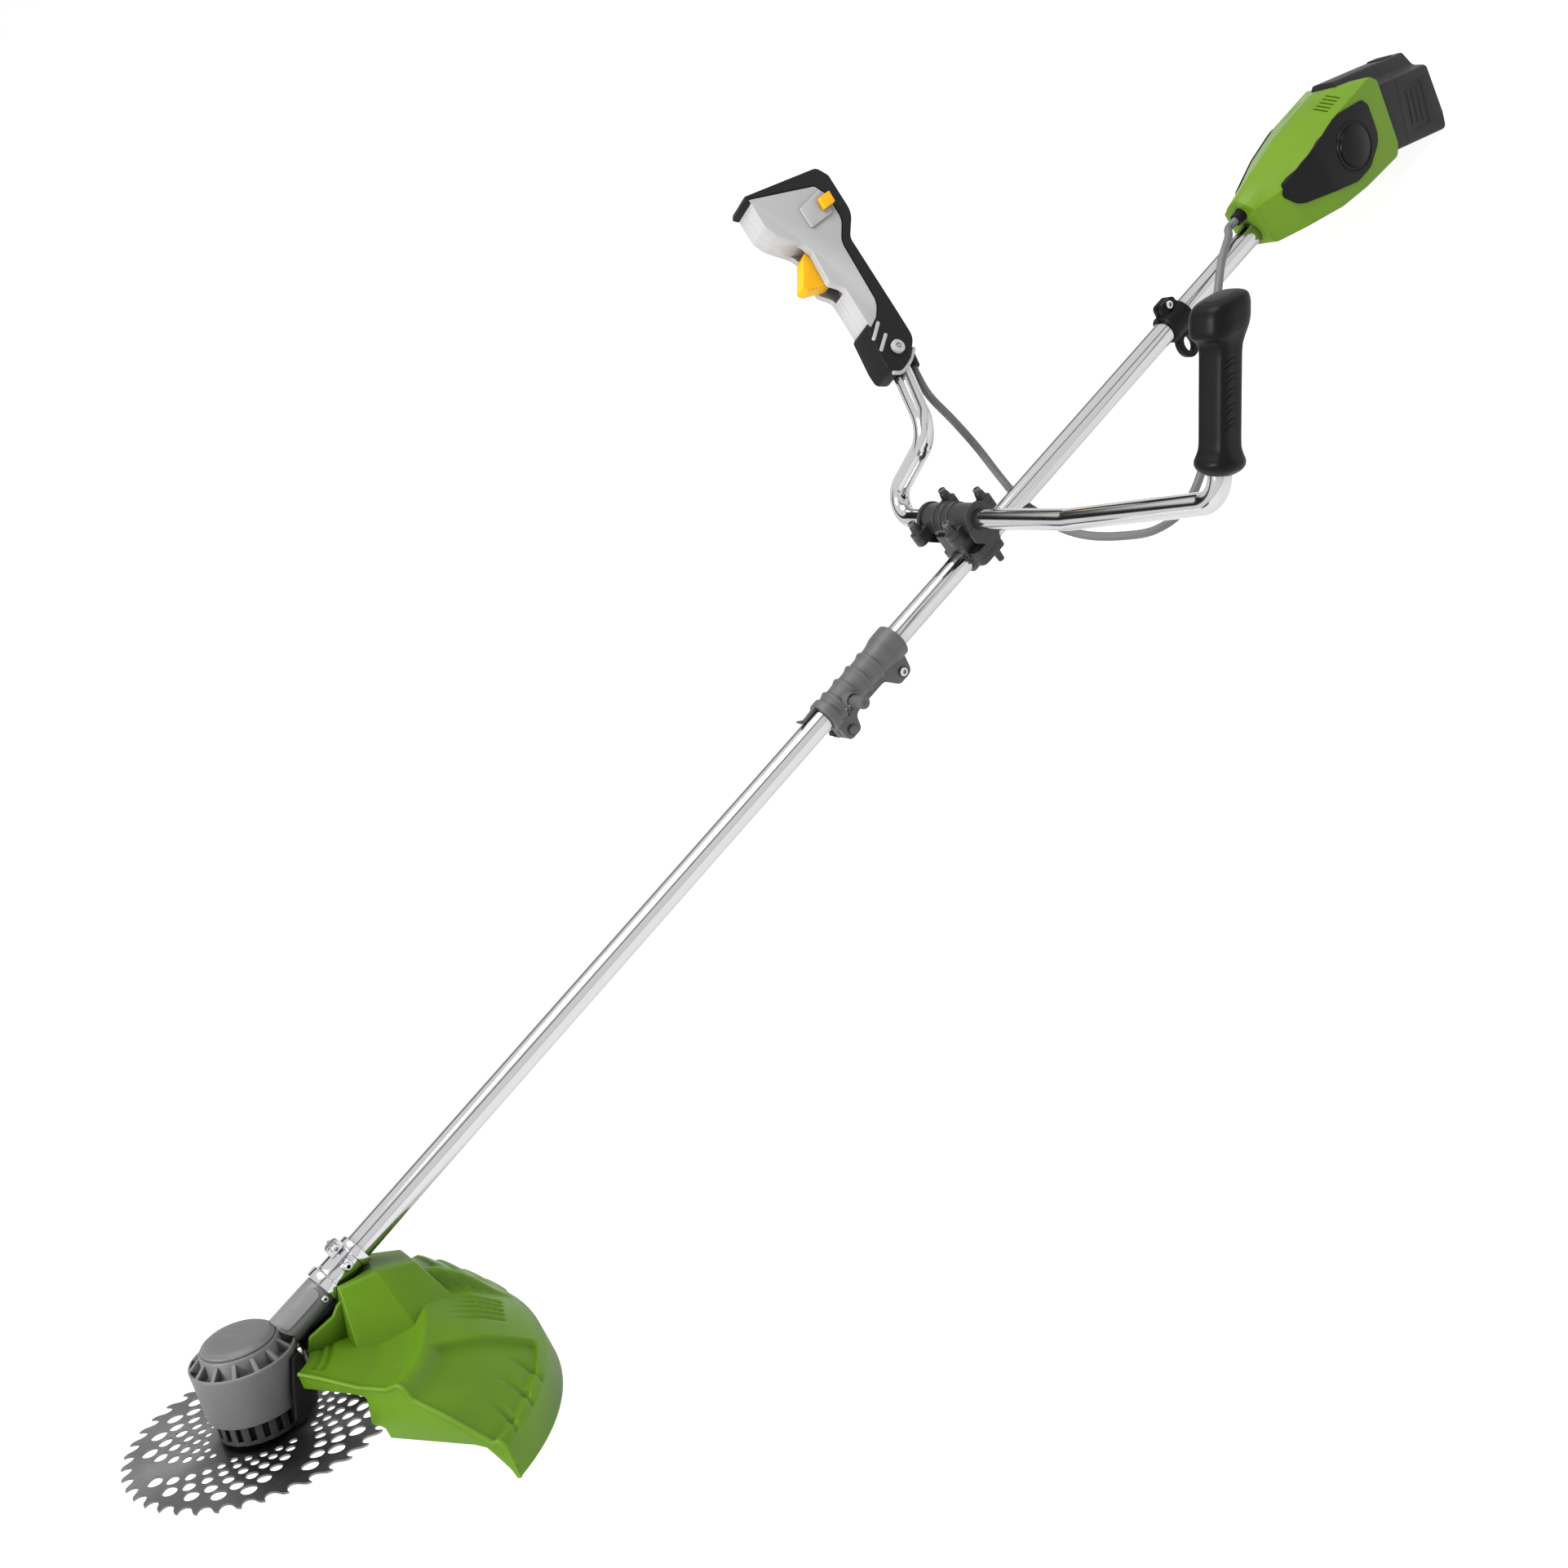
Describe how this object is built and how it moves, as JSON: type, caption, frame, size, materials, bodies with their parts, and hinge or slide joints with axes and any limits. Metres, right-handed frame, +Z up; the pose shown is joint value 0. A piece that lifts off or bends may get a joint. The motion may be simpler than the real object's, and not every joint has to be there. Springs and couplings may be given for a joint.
{
  "type": "cordless brush cutter",
  "caption": "Battery brush cutter: toothed disc under a green guard, split straight shaft, bull handlebar, control handle, rear battery.",
  "frame": {"origin": "centre of the bounding box at floor level, the tool lying on its guard and its battery", "axes": "+Z up, +Y along the shaft to the rear (battery end), +X to the user's left"},
  "size_m": [0.6332, 2.0402, 0.5202],
  "materials": {
    "drum": "satin dark grey",
    "skirt": "fluted dark grey",
    "neck": "satin grey casting",
    "steel": "machined",
    "chrome": "bright turned",
    "tube": "polished",
    "aluminium": "die cast",
    "copper": "wound coils on a laminated core",
    "magnet": "dark magnets",
    "blade": "dark burnished",
    "green": "satin moulded",
    "green_light": "satin moulded",
    "black": "matte moulded",
    "rubber": "ribbed",
    "gloss": "high gloss",
    "coupler": "glass-filled moulded",
    "clamp": "black die cast",
    "grey": "satin moulded",
    "yellow": "satin moulded",
    "battery": "fine texture",
    "cell": "wrapped cells",
    "board": "coated circuit board",
    "conduit": "corrugated"
  },
  "bodies": {
    "tool": {"coupler_body": "coupler", "coupler_screw": "steel", "plunger_spring": "steel", "upper_tube": "tube", "upper_cable": "black", "clamp_base": "clamp", "clamp_cap": "clamp", "cap_bolt_1": "coupler", "cap_bolt_2": "coupler", "cap_bolt_3": "coupler", "cap_bolt_4": "coupler", "shaft_saddle": "clamp", "saddle_bolt_1": "clamp", "saddle_bolt_2": "clamp", "handlebar": "tube", "left_grip": "rubber", "handle_spine": "black", "handle_shell_left": "grey", "handle_shell_right": "grey", "micro_switch": "black", "trigger_spring": "steel", "handle_gland": "black", "harness_hanger": "rubber", "hanger_screw": "steel", "housing_left": "green_light", "housing_right": "green_light", "side_panel_left": "gloss", "side_panel_right": "gloss", "housing_gland": "black", "controller_board": "board", "battery_dock": "black", "control_cable": "conduit"},
    "front_unit": {"motor_housing": "drum", "motor_cap": "drum", "upper_bearing": "steel", "stator": "copper", "motor_skirt": "skirt", "motor_base": "aluminium", "lower_bearing": "steel", "neck": "neck", "guard_bracket": "black", "shaft_clamp": "chrome", "clamp_bolt": "steel", "lower_tube": "tube", "lower_cable": "black", "guard": "green", "guard_bolt": "black"},
    "cutting_set": {"blade": "blade", "inner_flange": "steel", "outer_flange": "steel", "blade_nut": "steel", "spindle": "steel", "rotor": "magnet"},
    "plunger": {"lock_plunger": "coupler"},
    "knob": {"clamp_knob": "black"},
    "trigger_body": {"trigger": "yellow"},
    "switch": {"power_switch": "yellow"},
    "battery": {"battery_pack": "battery", "battery_cells": "cell"},
    "latch": {"battery_latch": "black"}
  },
  "joints": [
    {"name": "lower_shaft_slide", "type": "slide", "parent": "tool", "child": "front_unit", "axis": [0, -0.9974, 0.0716], "range_m": [0, 0.07]},
    {"name": "blade_spin", "type": "hinge", "parent": "front_unit", "child": "cutting_set", "pos_m": [-0.11153, -0.88256, 0.21391], "axis": [0, 0.5315, 0.8471], "continuous": true},
    {"name": "plunger_pull", "type": "slide", "parent": "tool", "child": "plunger", "axis": [1, 0, 0], "range_m": [0, 0.005], "stiffness_N_per_m": 800, "springref_m": -0.006},
    {"name": "knob_turn", "type": "hinge", "parent": "tool", "child": "knob", "pos_m": [-0.11153, -0.04872, 0.12596], "axis": [-1, 0, 0], "range_deg": [0, 360]},
    {"name": "trigger_squeeze", "type": "hinge", "parent": "tool", "child": "trigger_body", "pos_m": [-0.25142, 0.3345, 0.42676], "axis": [0.8634, 0.3182, 0.3915], "range_deg": [0, 12], "stiffness_Nm_per_rad": 0.6, "springref_deg": -17.19},
    {"name": "switch_slide", "type": "slide", "parent": "tool", "child": "switch", "axis": [0.4873, -0.7269, -0.4839], "range_m": [0, 0.008]},
    {"name": "battery_slide", "type": "slide", "parent": "tool", "child": "battery", "axis": [0, 0.9128, -0.4084], "range_m": [0, 0.11]},
    {"name": "latch_slide", "type": "slide", "parent": "battery", "child": "latch", "axis": [0, 0.9128, -0.4084], "range_m": [0, 0.004], "stiffness_N_per_m": 400, "springref_m": -0.004}
  ]
}
